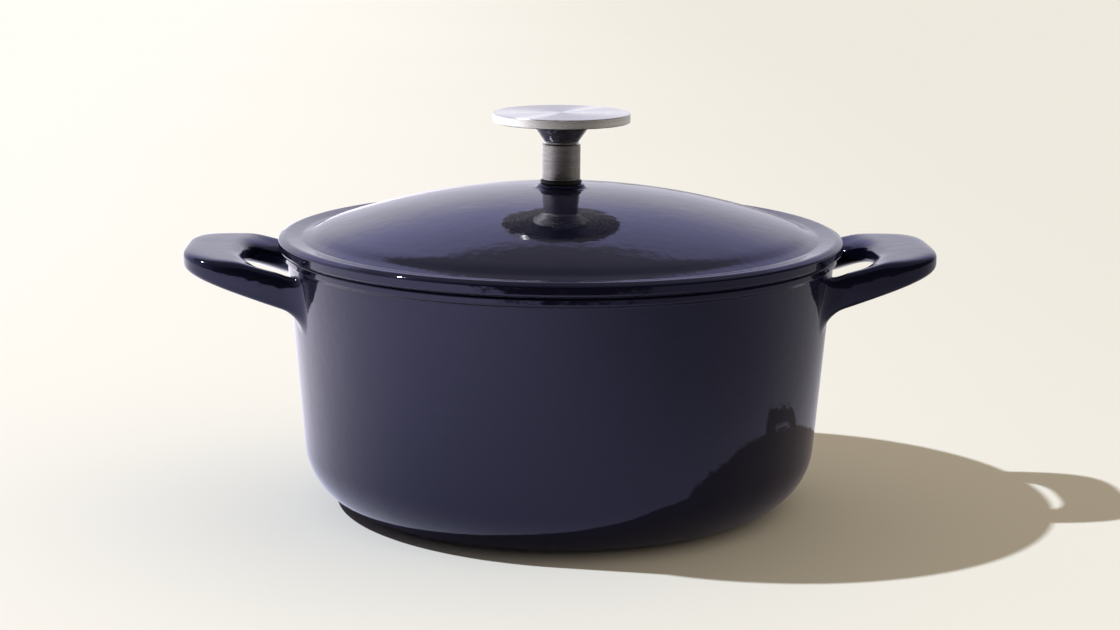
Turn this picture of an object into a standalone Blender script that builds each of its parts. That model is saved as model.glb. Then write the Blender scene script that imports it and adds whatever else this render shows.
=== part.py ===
"""Enamelled cast iron dutch oven: a pot with loop handles, a domed lid and a screwed-on knob.

Run with: blender --background --python part.py
Units are metres, +Z is up. The origin is the centre of the pot's base, on the surface it stands
on, and the loop handles point along +X and -X.
"""

import math

import bmesh
import bpy

MM = 0.001

# --- driving dimensions ------------------------------------------------------------------------
GAP = 0.3 * MM                   # air left between pieces that touch

# pot casting
WALL_RADIUS = 120.9 * MM         # outer wall radius, extended down to the floor
WALL_TAPER = 0.08                # the wall leans out by this much per unit of height
WALL_THICK = 3.6 * MM
BASE_CORNER = 29.5 * MM          # radius of the corner between wall and base
BASE_THICK = 4.4 * MM
BASE_RECESS = 0.9 * MM           # the base stands on a flat ring around this shallow recess
BASE_RECESS_RADIUS = 76.0 * MM
RIM_TOP = 122.0 * MM
RIM_LIP_HEIGHT = 3.4 * MM        # the rim is a slightly wider lip around the mouth
RIM_LIP_RADIUS = 132.0 * MM
RIM_ROUNDING = 1.1 * MM
RIM_UNDERCUT = 1.2 * MM          # height in which the lip falls back to the wall

# lid casting
LID_RADIUS = 134.5 * MM
LID_FLANGE_UNDER = RIM_TOP + GAP
LID_EDGE_LOW = 123.4 * MM        # the lid's outer face runs from here ...
LID_EDGE_HIGH = 127.6 * MM       # ... up to here
LID_EDGE_ROUNDING = 0.9 * MM
LID_EDGE_CHAMFER = 2.0 * MM      # the flange's underside starts this far in from the edge
BRIM_CREST = 129.1 * MM
BRIM_CREST_RADIUS = 131.5 * MM
BRIM_CREST_ROUNDING = 3.0 * MM
BRIM_VALLEY = 128.0 * MM
BRIM_VALLEY_RADIUS = 124.0 * MM
DOME_EDGE_RADIUS = 106.0 * MM
DOME_TOP = 150.8 * MM
DOME_SPHERE = 353.0 * MM
LID_THICK = 3.6 * MM
BOSS_TOP = 152.6 * MM
BOSS_RADIUS = 11.2 * MM
BOSS_ROUNDING = 1.0 * MM
BOSS_FLARE = 3.0 * MM            # the boss runs out into the dome over this width
LOCATING_RING_RADIUS = 125.8 * MM
LOCATING_RING_DROP = 4.0 * MM
LOCATING_RING_WIDTH = 3.8 * MM
LOCATING_RING_ROUNDING = 1.0 * MM
LOCATING_RING_LEAN = 1.2 * MM
SCREW_SEAT = 145.8 * MM          # flat seat for the washers inside the lid
SCREW_SEAT_RADIUS = 10.5 * MM
SCREW_SEAT_SLOPE = 1.5 * MM
BASTING_RING_RADII = (34.0 * MM, 62.0 * MM, 90.0 * MM)
BASTING_RING_DROP = 2.0 * MM
BASTING_RING_HALF_WIDTH = 2.6 * MM

# loop handles
HANDLE_REACH = 178.8 * MM        # from the pot's axis to the end of the grip
HANDLE_HALF_WIDTH = 46.0 * MM
HANDLE_SQUARENESS = 3.8          # exponent of the outline's superellipse
HOLE_REACH = 151.8 * MM
HOLE_HALF_WIDTH = 30.0 * MM
HOLE_SQUARENESS = 3.1
HANDLE_ROOT_X = 118.0 * MM       # both outlines start here, inside the wall
ARM_TOP = 117.2 * MM             # top of the arms beside the wall
GRIP_TOP = 121.9 * MM
TIP_TOP = 124.2 * MM             # the grip's top rises a little more towards its end
TIP_RISE_POWER = 1.5
GRIP_RISE_FROM = 125.5 * MM
GRIP_RISE_TO = 152.5 * MM
ROOT_UNDERSIDE = 98.0 * MM
TIP_UNDERSIDE = 115.0 * MM
HOLE_SIDE_LIFT = 5.0 * MM        # the underside slopes up this much towards the hole
HOLE_SIDE_DROP = 4.0 * MM        # the arms' tops slope down this much towards the hole
HOLE_DROP_FROM = 140.0 * MM      # this slope fades out into the grip between these two places
HOLE_DROP_TO = 156.0 * MM
SECTION_SQUARENESS = 4.1         # exponent of the superellipse across the loop
HANDLE_ROOT_DEPTH = 2.0 * MM     # how far the arms run into the wall

# knob
GASKET_RADIUS = 9.9 * MM
GASKET_THICK = 1.3 * MM
RUBBER_ROUNDING = 0.3 * MM
COLLAR_RADIUS = 9.15 * MM
COLLAR_HEIGHT = 17.0 * MM
COLLAR_ROUNDING = 0.4 * MM
NECK_FOOT_RADIUS = 8.5 * MM
NECK_TOP_RADIUS = 14.4 * MM
NECK_HEIGHT = 10.2 * MM
NECK_TOP_FILLET = 1.2 * MM
NECK_FOOT_FILLET = 3.0 * MM
NECK_FOOT_CHAMFER = 0.4 * MM
NECK_FOOT_RISE = 1.0 * MM
DISC_RADIUS = 32.7 * MM
DISC_THICK = 4.4 * MM
DISC_ROUNDING = 0.5 * MM
SCREW_RADIUS = 3.0 * MM          # M6
THREAD_BORE_RADIUS = SCREW_RADIUS + GAP
SCREW_HOLE_RADIUS = 3.4 * MM
SCREW_HEAD_RADIUS = 5.5 * MM
SCREW_HEAD_HEIGHT = 3.8 * MM
SCREW_HEAD_DOME = 1.8 * MM
SCREW_HEAD_ROUNDING = 0.4 * MM
SCREW_POINT = 0.6 * MM           # chamfer at the end of the thread
SCREW_REACH = 9.0 * MM           # length of thread inside the knob
THREAD_BORE_DEPTH = 9.6 * MM
HEX_SOCKET_RADIUS = 2.31 * MM    # 4 mm across the flats
HEX_SOCKET_DEPTH = 2.4 * MM
SPRING_WASHER_RADIUS = 5.6 * MM
SPRING_WASHER_THICK = 1.4 * MM
SPRING_WASHER_SPLIT = 0.9 * MM
SPRING_WASHER_SLANT = math.radians(20)
FLAT_WASHER_RADIUS = 8.0 * MM
FLAT_WASHER_THICK = 1.2 * MM
SEAL_WASHER_RADIUS = 9.0 * MM
SEAL_WASHER_THICK = 1.5 * MM

CASTING_STEPS = 64               # segments round each turned piece
KNOB_STEPS = 36
SMALL_STEPS = 24


def clear_scene():
    """Remove every object that the file starts with."""
    for thing in list(bpy.data.objects):
        bpy.data.objects.remove(thing, do_unlink=True)


def finish(name, colour, roughness, metallic):
    """Principled material for one sub-part."""
    material = bpy.data.materials.new(name)
    material.use_nodes = True
    shader = material.node_tree.nodes["Principled BSDF"]
    shader.inputs["Base Color"].default_value = (*colour, 1.0)
    shader.inputs["Roughness"].default_value = roughness
    shader.inputs["Metallic"].default_value = metallic
    return material


def link(name, mesh, material, parent=None):
    """Object for a mesh, with its material, linked to the scene."""
    thing = bpy.data.objects.new(name, mesh)
    mesh.materials.append(material)
    bpy.context.scene.collection.objects.link(thing)
    thing.parent = parent
    return thing


def rounded(corners, arc_steps=2):
    """Outline through (radius, height, corner radius) points, with the corners as arcs."""
    outline = []
    last = len(corners) - 1
    for i, (r, z, bend) in enumerate(corners):
        if bend == 0.0 or i in (0, last):
            outline.append((r, z))
            continue
        before, after = corners[i - 1], corners[i + 1]
        d1 = (before[0] - r, before[1] - z)
        d2 = (after[0] - r, after[1] - z)
        l1, l2 = math.hypot(*d1), math.hypot(*d2)
        d1 = (d1[0] / l1, d1[1] / l1)
        d2 = (d2[0] / l2, d2[1] / l2)
        half = math.acos(max(-1.0, min(1.0, d1[0] * d2[0] + d1[1] * d2[1]))) / 2
        cut = bend / math.tan(half)
        mid = (d1[0] + d2[0], d1[1] + d2[1])
        reach = bend / math.sin(half) / math.hypot(*mid)
        centre = (r + mid[0] * reach, z + mid[1] * reach)
        start = (r + d1[0] * cut - centre[0], z + d1[1] * cut - centre[1])
        end = (r + d2[0] * cut - centre[0], z + d2[1] * cut - centre[1])
        turn = math.pi - 2 * half
        for k in range(arc_steps + 1):
            a = turn * k / arc_steps
            w1, w2 = math.sin(turn - a) / math.sin(turn), math.sin(a) / math.sin(turn)
            outline.append((centre[0] + start[0] * w1 + end[0] * w2,
                            centre[1] + start[1] * w1 + end[1] * w2))
    return outline


def turned(name, outline, material, steps, parent=None, closed=True):
    """Object of revolution about Z, made with the Screw modifier.

    The outline runs down the piece's outer side; a closed one is a ring, an open one starts
    and ends on the axis.
    """
    mesh = bpy.data.meshes.new(name)
    edges = [(i, i + 1) for i in range(len(outline) - 1)]
    if closed:
        edges.append((len(outline) - 1, 0))
    mesh.from_pydata([(r, 0.0, z) for r, z in outline], edges, [])
    thing = link(name, mesh, material, parent)
    screw = thing.modifiers.new("turn", "SCREW")
    screw.axis = "Z"
    screw.angle = math.tau
    screw.steps = steps
    screw.render_steps = steps
    screw.use_merge_vertices = True
    screw.merge_threshold = 0.00001
    screw.use_smooth_shade = True
    return thing


def boolean(thing, tool, operation):
    """Combine a thing with a tool that stays hidden."""
    modifier = thing.modifiers.new(operation.lower(), "BOOLEAN")
    modifier.operation = operation
    modifier.solver = "EXACT"
    modifier.object = tool
    tool.hide_render = True
    tool.display_type = "WIRE"


def wall_radius(z):
    """Outer radius of the pot's wall at a height."""
    return WALL_RADIUS + WALL_TAPER * z


def smooth_step(value, low, high):
    """0 below low, 1 above high, and a smooth S between."""
    t = max(0.0, min(1.0, (value - low) / (high - low)))
    return t * t * (3 - 2 * t)


# --- pot ---------------------------------------------------------------------------------------
def pot_outline():
    """Profile of the pot: down the outside, over the base and up the inside to the rim."""
    lip_foot = RIM_TOP - RIM_LIP_HEIGHT
    inner_top = wall_radius(RIM_TOP) - WALL_THICK
    inner_foot = wall_radius(BASE_THICK) - WALL_THICK
    return rounded([
        (inner_top, RIM_TOP, 0.0),
        (RIM_LIP_RADIUS, RIM_TOP, RIM_ROUNDING),
        (RIM_LIP_RADIUS, lip_foot, RIM_ROUNDING),
        (wall_radius(lip_foot - RIM_UNDERCUT), lip_foot - RIM_UNDERCUT, 0.0),
        (WALL_RADIUS, 0.0, BASE_CORNER),
        (BASE_RECESS_RADIUS, 0.0, 0.0),
        (BASE_RECESS_RADIUS - BASE_RECESS, BASE_RECESS, 0.0),
        (0.0, BASE_RECESS, 0.0),
        (0.0, BASE_THICK, 0.0),
        (inner_foot, BASE_THICK, BASE_CORNER - WALL_THICK),
        (inner_top, RIM_TOP, 0.0),
    ], arc_steps=4)[:-1]


def handle_outline(t, reach, half_width, squareness):
    """Point of a loop outline, for t from 0 at the near root to 1 at the far root."""
    angle = math.pi * (t - 0.5)
    c, s = math.cos(angle), math.sin(angle)
    x = HANDLE_ROOT_X + (reach - HANDLE_ROOT_X) * abs(c) ** (2 / squareness)
    y = half_width * math.copysign(abs(s) ** (2 / squareness), s)
    return x, y


def handle_top(x):
    """Height of the handle's crest: low arms rise to the grip, which rises on to its end."""
    rise = smooth_step(x, GRIP_RISE_FROM, GRIP_RISE_TO)
    along_grip = max(0.0, (x - GRIP_RISE_TO) / (HANDLE_REACH - GRIP_RISE_TO))
    tip_rise = (TIP_TOP - GRIP_TOP) * along_grip ** TIP_RISE_POWER
    return ARM_TOP + (GRIP_TOP - ARM_TOP) * rise + tip_rise


def handle_underside(x):
    """Height of the handle's sloping underside."""
    slope = (TIP_UNDERSIDE - ROOT_UNDERSIDE) / (HANDLE_REACH - wall_radius(ROOT_UNDERSIDE))
    return ROOT_UNDERSIDE + slope * (x - wall_radius(ROOT_UNDERSIDE))


def handle_mesh(name, stations=18, around=12):
    """Loop of rounded sections swept from the near root to the far root."""
    bm = bmesh.new()
    rings = []
    for i in range(stations + 1):
        t = i / stations
        outer = handle_outline(t, HANDLE_REACH, HANDLE_HALF_WIDTH, HANDLE_SQUARENESS)
        inner = handle_outline(t, HOLE_REACH, HOLE_HALF_WIDTH, HOLE_SQUARENESS)
        ring = []
        for k in range(around):
            phi = math.tau * (k + 0.5) / around
            c, s = math.cos(phi), math.sin(phi)
            across = 0.5 + 0.5 * math.copysign(abs(c) ** (2 / SECTION_SQUARENESS), c)
            up = 0.5 + 0.5 * math.copysign(abs(s) ** (2 / SECTION_SQUARENESS), s)
            x = inner[0] + (outer[0] - inner[0]) * across
            y = inner[1] + (outer[1] - inner[1]) * across
            low = handle_underside(x) + HOLE_SIDE_LIFT * (1 - across)
            slope = HOLE_SIDE_DROP * (1 - smooth_step(x, HOLE_DROP_FROM, HOLE_DROP_TO))
            high = handle_top(x) - slope * (1 - across)
            z = low + (high - low) * up
            if i in (0, stations):
                buried = wall_radius(z) - HANDLE_ROOT_DEPTH
                x = math.sqrt(buried ** 2 - y ** 2)
            ring.append(bm.verts.new((x, y, z)))
        rings.append(ring)
    for a, b in zip(rings, rings[1:]):
        for k in range(around):
            bm.faces.new((a[k], a[(k + 1) % around], b[(k + 1) % around], b[k]))
    bm.faces.new(rings[0])
    bm.faces.new(list(reversed(rings[-1])))
    bmesh.ops.recalc_face_normals(bm, faces=bm.faces)
    mesh = bpy.data.meshes.new(name)
    bm.to_mesh(mesh)
    bm.free()
    mesh.shade_smooth()
    return mesh


def make_pot(material):
    """Pot casting: the turned body with both loop handles united to it."""
    pot = turned("pot", pot_outline(), material, CASTING_STEPS)
    for side, turn in (("right", 0.0), ("left", math.pi)):
        handle = link("handle_form_" + side, handle_mesh("handle_form_" + side), material)
        handle.rotation_euler.z = turn
        boolean(pot, handle, "UNION")
    return pot


# --- lid ---------------------------------------------------------------------------------------
def dome_height(radius):
    """Height of the dome's outer face."""
    return DOME_TOP - (DOME_SPHERE - math.sqrt(DOME_SPHERE ** 2 - radius ** 2))


def brim_height(radius):
    """Height of the outer face where the dome sweeps out into the brim."""
    span = BRIM_VALLEY_RADIUS - DOME_EDGE_RADIUS
    t = (radius - DOME_EDGE_RADIUS) / span
    foot = dome_height(DOME_EDGE_RADIUS)
    slope = -DOME_EDGE_RADIUS / math.sqrt(DOME_SPHERE ** 2 - DOME_EDGE_RADIUS ** 2)
    blend = t * t * (3 - 2 * t)
    return foot + (BRIM_VALLEY - foot) * blend + span * slope * t * (1 - t) ** 2


def stops(start, end, count):
    """Evenly spaced values from start to end, both included."""
    return [start + (end - start) * i / (count - 1) for i in range(count)]


def lid_top_outline():
    """Outer face from the screw hole out to the edge of the flange."""
    boss = rounded([
        (SCREW_HOLE_RADIUS, BOSS_TOP, 0.0),
        (BOSS_RADIUS, BOSS_TOP, BOSS_ROUNDING),
        (BOSS_RADIUS + 0.2 * BOSS_FLARE, dome_height(BOSS_RADIUS) + 0.1 * BOSS_FLARE, 0.0),
    ])
    dome = [(r, dome_height(r)) for r in stops(BOSS_RADIUS + BOSS_FLARE, DOME_EDGE_RADIUS, 7)]
    brim = [(r, brim_height(r)) for r in stops(DOME_EDGE_RADIUS, BRIM_VALLEY_RADIUS, 6)[1:]]
    edge = rounded([
        (*brim[-1], 0.0),
        (BRIM_CREST_RADIUS, BRIM_CREST, BRIM_CREST_ROUNDING),
        (LID_RADIUS, LID_EDGE_HIGH, LID_EDGE_ROUNDING),
        (LID_RADIUS, LID_EDGE_LOW, LID_EDGE_ROUNDING),
        (LID_RADIUS - LID_EDGE_CHAMFER, LID_FLANGE_UNDER, 0.0),
    ])
    return boss + dome + brim[:-1] + edge


def lid_under_outline():
    """Underside from the flange in to the screw hole."""
    ring_low = LID_FLANGE_UNDER - LOCATING_RING_DROP
    ring_inner = LOCATING_RING_RADIUS - LOCATING_RING_WIDTH
    ring_foot = ring_inner - LOCATING_RING_LEAN
    brim_middle = (DOME_EDGE_RADIUS + ring_foot) / 2
    ring = rounded([
        (LOCATING_RING_RADIUS, LID_FLANGE_UNDER, 0.0),
        (LOCATING_RING_RADIUS, ring_low, LOCATING_RING_ROUNDING),
        (ring_inner, ring_low, LOCATING_RING_ROUNDING),
        (ring_foot, brim_height(ring_foot) - LID_THICK, 0.0),
    ])
    outline = ring + [(brim_middle, brim_height(brim_middle) - LID_THICK)]
    outline.append((DOME_EDGE_RADIUS, dome_height(DOME_EDGE_RADIUS) - LID_THICK))
    for radius in reversed(BASTING_RING_RADII):
        for side, drop in ((1, 0.0), (0, BASTING_RING_DROP), (-1, 0.0)):
            r = radius + side * BASTING_RING_HALF_WIDTH
            outline.append((r, dome_height(r) - LID_THICK - drop))
    seat_slope_top = SCREW_SEAT_RADIUS + SCREW_SEAT_SLOPE
    outline.append((seat_slope_top, dome_height(seat_slope_top) - LID_THICK))
    outline.append((SCREW_SEAT_RADIUS, SCREW_SEAT))
    outline.append((SCREW_HOLE_RADIUS, SCREW_SEAT))
    return outline


def make_lid(material):
    """Lid casting: low dome, wide brim, knob boss, locating ring and basting rings."""
    outline = lid_top_outline() + lid_under_outline()
    return turned("lid", outline, material, CASTING_STEPS)


# --- knob and its fixing -----------------------------------------------------------------------
def ring_outline(inner, outer, low, high, bend):
    """Closed section of a plain ring with its outer corners rounded."""
    return rounded([
        (inner, high, 0.0),
        (outer, high, bend),
        (outer, low, bend),
        (inner, low, 0.0),
    ])


def make_knob_head(material, low, lid):
    """Disc, flared neck and blind thread bore of the knob."""
    disc_low = low + NECK_HEIGHT
    disc_high = disc_low + DISC_THICK
    outline = rounded([
        (0.0, disc_high, 0.0),
        (DISC_RADIUS, disc_high, DISC_ROUNDING),
        (DISC_RADIUS, disc_low, DISC_ROUNDING),
        (NECK_TOP_RADIUS, disc_low, NECK_TOP_FILLET),
        (NECK_FOOT_RADIUS, low + NECK_FOOT_RISE, NECK_FOOT_FILLET),
        (NECK_FOOT_RADIUS - NECK_FOOT_CHAMFER, low, 0.0),
        (THREAD_BORE_RADIUS, low, 0.0),
        (THREAD_BORE_RADIUS, low + THREAD_BORE_DEPTH, 0.0),
        (0.0, low + THREAD_BORE_DEPTH + THREAD_BORE_RADIUS / 2, 0.0),
    ], arc_steps=3)
    return turned("knob_head", outline, material, KNOB_STEPS, lid, closed=False)


def make_knob_screw(material, head_high, tip, lid):
    """Pan head screw with a hexagonal socket in its lower face."""
    head_low = head_high - SCREW_HEAD_HEIGHT
    outline = rounded([
        (0.0, tip, 0.0),
        (SCREW_RADIUS - SCREW_POINT, tip, 0.0),
        (SCREW_RADIUS, tip - SCREW_POINT, 0.0),
        (SCREW_RADIUS, head_high, 0.0),
        (SCREW_HEAD_RADIUS, head_high, SCREW_HEAD_ROUNDING),
        (SCREW_HEAD_RADIUS, head_low, SCREW_HEAD_DOME),
        (0.0, head_low, 0.0),
    ])
    screw = turned("knob_screw", outline, material, SMALL_STEPS, lid, closed=False)
    socket_mesh = bpy.data.meshes.new("socket_form")
    bm = bmesh.new()
    bmesh.ops.create_cone(bm, cap_ends=True, segments=6, radius1=HEX_SOCKET_RADIUS,
                          radius2=HEX_SOCKET_RADIUS, depth=2 * HEX_SOCKET_DEPTH)
    bm.to_mesh(socket_mesh)
    bm.free()
    socket = link("socket_form", socket_mesh, material)
    socket.location.z = head_low
    boolean(screw, socket, "DIFFERENCE")
    return screw


def make_spring_washer(material, low, high, lid):
    """Lock washer: a ring cut through by a slanted split."""
    outline = ring_outline(SCREW_HOLE_RADIUS, SPRING_WASHER_RADIUS, low, high, 0.0)
    washer = turned("spring_washer", outline, material, SMALL_STEPS, lid)
    split_mesh = bpy.data.meshes.new("split_form")
    bm = bmesh.new()
    bmesh.ops.create_cube(bm, size=1.0)
    bmesh.ops.scale(bm, vec=(SPRING_WASHER_RADIUS, SPRING_WASHER_SPLIT, 4 * (high - low)),
                    verts=bm.verts)
    bm.to_mesh(split_mesh)
    bm.free()
    split = link("split_form", split_mesh, material)
    split.location = (SPRING_WASHER_RADIUS, 0.0, (low + high) / 2)
    split.rotation_euler.x = SPRING_WASHER_SLANT
    boolean(washer, split, "DIFFERENCE")
    return washer


def make_knob(steel, rubber, lid):
    """Knob, collar and gasket above the lid; washers and screw below it."""
    gasket_low = BOSS_TOP + GAP
    gasket_high = gasket_low + GASKET_THICK
    collar_low = gasket_high + GAP
    collar_high = collar_low + COLLAR_HEIGHT
    head_low = collar_high + GAP
    seal_high = SCREW_SEAT - GAP
    seal_low = seal_high - SEAL_WASHER_THICK
    flat_high = seal_low - GAP
    flat_low = flat_high - FLAT_WASHER_THICK
    spring_high = flat_low - GAP
    spring_low = spring_high - SPRING_WASHER_THICK

    rings = (
        ("knob_gasket", GASKET_RADIUS, gasket_low, gasket_high, RUBBER_ROUNDING, rubber),
        ("knob_collar", COLLAR_RADIUS, collar_low, collar_high, COLLAR_ROUNDING, steel),
        ("seal_washer", SEAL_WASHER_RADIUS, seal_low, seal_high, RUBBER_ROUNDING, rubber),
        ("flat_washer", FLAT_WASHER_RADIUS, flat_low, flat_high, 0.0, steel),
    )
    for name, radius, low, high, rounding, material in rings:
        outline = ring_outline(SCREW_HOLE_RADIUS, radius, low, high, rounding)
        turned(name, outline, material, KNOB_STEPS, lid)
    make_knob_head(steel, head_low, lid)
    make_spring_washer(steel, spring_low, spring_high, lid)
    make_knob_screw(steel, spring_low - GAP, head_low + SCREW_REACH, lid)


def main():
    """Make every piece of the dutch oven; the knob's pieces are children of the lid."""
    clear_scene()
    enamel = finish("navy_enamel", (0.030, 0.028, 0.065), 0.12, 0.0)
    steel = finish("brushed_stainless", (0.62, 0.60, 0.57), 0.28, 1.0)
    rubber = finish("black_silicone", (0.015, 0.015, 0.016), 0.55, 0.0)
    make_pot(enamel)
    lid = make_lid(enamel)
    make_knob(steel, rubber, lid)


main()
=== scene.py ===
"""Looks of the enamelled cast iron dutch oven: castings, enamel, steel knob and its fixing.

Every length is in metres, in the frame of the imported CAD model: the origin is the centre of the
pot's base on the surface it stands on, +Z is up and the loop handles point along +X and -X.
"""

import logging
import math
from collections.abc import Callable, Mapping, Sequence
from dataclasses import dataclass, field
from enum import Enum
from typing import Any, Union

import bpy
import numpy as np
from mathutils import Matrix, Vector
from mathutils.geometry import delaunay_2d_cdt


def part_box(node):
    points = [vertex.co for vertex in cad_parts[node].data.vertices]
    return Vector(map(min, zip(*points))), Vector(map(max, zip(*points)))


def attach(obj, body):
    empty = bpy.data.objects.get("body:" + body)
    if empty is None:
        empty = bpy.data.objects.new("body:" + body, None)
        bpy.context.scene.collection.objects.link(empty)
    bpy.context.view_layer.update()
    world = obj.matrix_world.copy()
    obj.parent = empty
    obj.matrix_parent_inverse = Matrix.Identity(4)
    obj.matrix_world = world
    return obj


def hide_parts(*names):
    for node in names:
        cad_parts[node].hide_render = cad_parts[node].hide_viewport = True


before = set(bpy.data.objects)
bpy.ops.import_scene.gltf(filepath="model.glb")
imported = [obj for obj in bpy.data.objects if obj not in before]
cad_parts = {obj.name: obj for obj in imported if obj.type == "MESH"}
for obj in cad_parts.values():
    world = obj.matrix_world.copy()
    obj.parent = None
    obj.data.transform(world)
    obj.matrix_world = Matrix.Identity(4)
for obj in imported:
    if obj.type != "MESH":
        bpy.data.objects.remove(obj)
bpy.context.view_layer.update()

LOG = logging.getLogger("dutch_oven")
MM = 0.001
Point = tuple[float, float]
Colour = tuple[float, float, float]


# --- shader maths ------------------------------------------------------------------------------
class Wire:
    """A node's output socket whose arithmetic adds Math nodes to the same graph."""

    def __init__(self, graph: "Graph", socket: bpy.types.NodeSocket) -> None:
        """Remember the socket and the graph it belongs to."""
        self.graph = graph
        self.socket = socket

    def math(self, operation: str, *values: "Value") -> "Wire":
        """Result of a Math node; this wire is usually the first of its values."""
        return self.graph.node("ShaderNodeMath", {"operation": operation},
                               dict(enumerate(values)))

    def __add__(self, other: "Value") -> "Wire":
        """Sum."""
        return self.math("ADD", self, other)

    __radd__ = __add__

    def __sub__(self, other: "Value") -> "Wire":
        """Difference."""
        return self.math("SUBTRACT", self, other)

    def __mul__(self, other: "Value") -> "Wire":
        """Product."""
        return self.math("MULTIPLY", self, other)

    def __truediv__(self, other: "Value") -> "Wire":
        """Quotient."""
        return self.math("DIVIDE", self, other)

    def __pow__(self, other: "Value") -> "Wire":
        """Power."""
        return self.math("POWER", self, other)

    def step(self, low: float, high: float) -> "Wire":
        """0 below low, 1 above high and a smooth S between; low may be the larger one."""
        return self.graph.node(
            "ShaderNodeMapRange", {"interpolation_type": "SMOOTHSTEP"},
            {"Value": self, "From Min": low, "From Max": high})


Value = Union[Wire, float, tuple]


class Graph:
    """Node tree of one material or world, with one way to add any node."""

    def __init__(self, tree: bpy.types.NodeTree) -> None:
        """Start from an empty tree."""
        self.tree = tree
        tree.nodes.clear()

    def node(self, kind: str, settings: Mapping[str, Any] | None = None,
             inputs: Mapping[int | str, Value] | None = None, output: int | str = 0) -> Wire:
        """Add a node.

        Args:
            kind: the node's type.
            settings: its properties.
            inputs: value or wire for each input socket, by name or place.
            output: name or place of the output wanted.

        Returns:
            The output as a wire.
        """
        node = self.tree.nodes.new(kind)
        for name, setting in (settings or {}).items():
            setattr(node, name, setting)
        for name, value in (inputs or {}).items():
            if isinstance(value, Wire):
                self.tree.links.new(value.socket, node.inputs[name])
            else:
                node.inputs[name].default_value = value
        return Wire(self, node.outputs[output]) if len(node.outputs) else None

    def blend(self, mask: Value, low: Value | Colour, high: Value | Colour) -> Wire:
        """Colour that is low where the mask is 0 and high where it is 1.

        Args:
            mask: the share of the second colour.
            low: colour or wire.
            high: colour or wire.

        Returns:
            The blended colour.
        """
        low, high = (v if isinstance(v, Wire) else (*v, 1.0) for v in (low, high))
        mix_colour_a, mix_colour_b, mix_result = 6, 7, 2
        return self.node("ShaderNodeMix", {"data_type": "RGBA"},
                         {0: mask, mix_colour_a: low, mix_colour_b: high}, mix_result)

    def place(self) -> Wire:
        """Place on the piece, in metres, in the frame's axes."""
        return self.node("ShaderNodeTexCoord", output="Object")

    def split(self, vector: Wire) -> tuple[Wire, Wire, Wire]:
        """X, Y and Z of a vector."""
        parts = self.node("ShaderNodeSeparateXYZ", inputs={0: vector})
        outputs = parts.socket.node.outputs
        return tuple(Wire(self, outputs[i]) for i in range(3))

    def join(self, x: Value, y: Value, z: Value) -> Wire:
        """Vector of three values."""
        return self.node("ShaderNodeCombineXYZ", inputs={0: x, 1: y, 2: z})

    def noise(self, vector: Wire, size: float, detail: float = 2.0,
              roughness: float = 0.5) -> Wire:
        """Noise from 0 to 1.

        Args:
            vector: the place it is read at, in metres.
            size: the size of one blot.
            detail: number of finer layers.
            roughness: strength of the finer layers.

        Returns:
            The noise value.
        """
        return self.node("ShaderNodeTexNoise", {"normalize": True},
                         {"Vector": vector, "Scale": 1.0 / size, "Detail": detail,
                          "Roughness": roughness})

    def is_ray(self, kind: str) -> Wire:
        """1 for rays of a kind, such as Glossy or Camera, and 0 for others."""
        return self.node("ShaderNodeLightPath", output=f"Is {kind} Ray")

    def bump(self, height: Wire) -> Wire:
        """Normal of a height in metres."""
        return self.node("ShaderNodeBump", inputs={"Strength": 1.0, "Distance": 1.0,
                                                   "Height": height})


def new_material(name: str, shader_values: Mapping[str, Any],
                 wiring: Callable[[Graph], Mapping[str, Wire]]) -> bpy.types.Material:
    """Principled material.

    Args:
        name: the material's name.
        shader_values: constants set on the shader's own sockets.
        wiring: adds nodes to the graph and returns wires for the shader's sockets.

    Returns:
        The material.
    """
    material = bpy.data.materials.new(name)
    material.use_nodes = True
    graph = Graph(material.node_tree)
    inputs = dict(shader_values)
    inputs.update(wiring(graph))
    shader = graph.node("ShaderNodeBsdfPrincipled", {"distribution": "MULTI_GGX"}, inputs)
    graph.node("ShaderNodeOutputMaterial", inputs={"Surface": shader})
    return material


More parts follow.
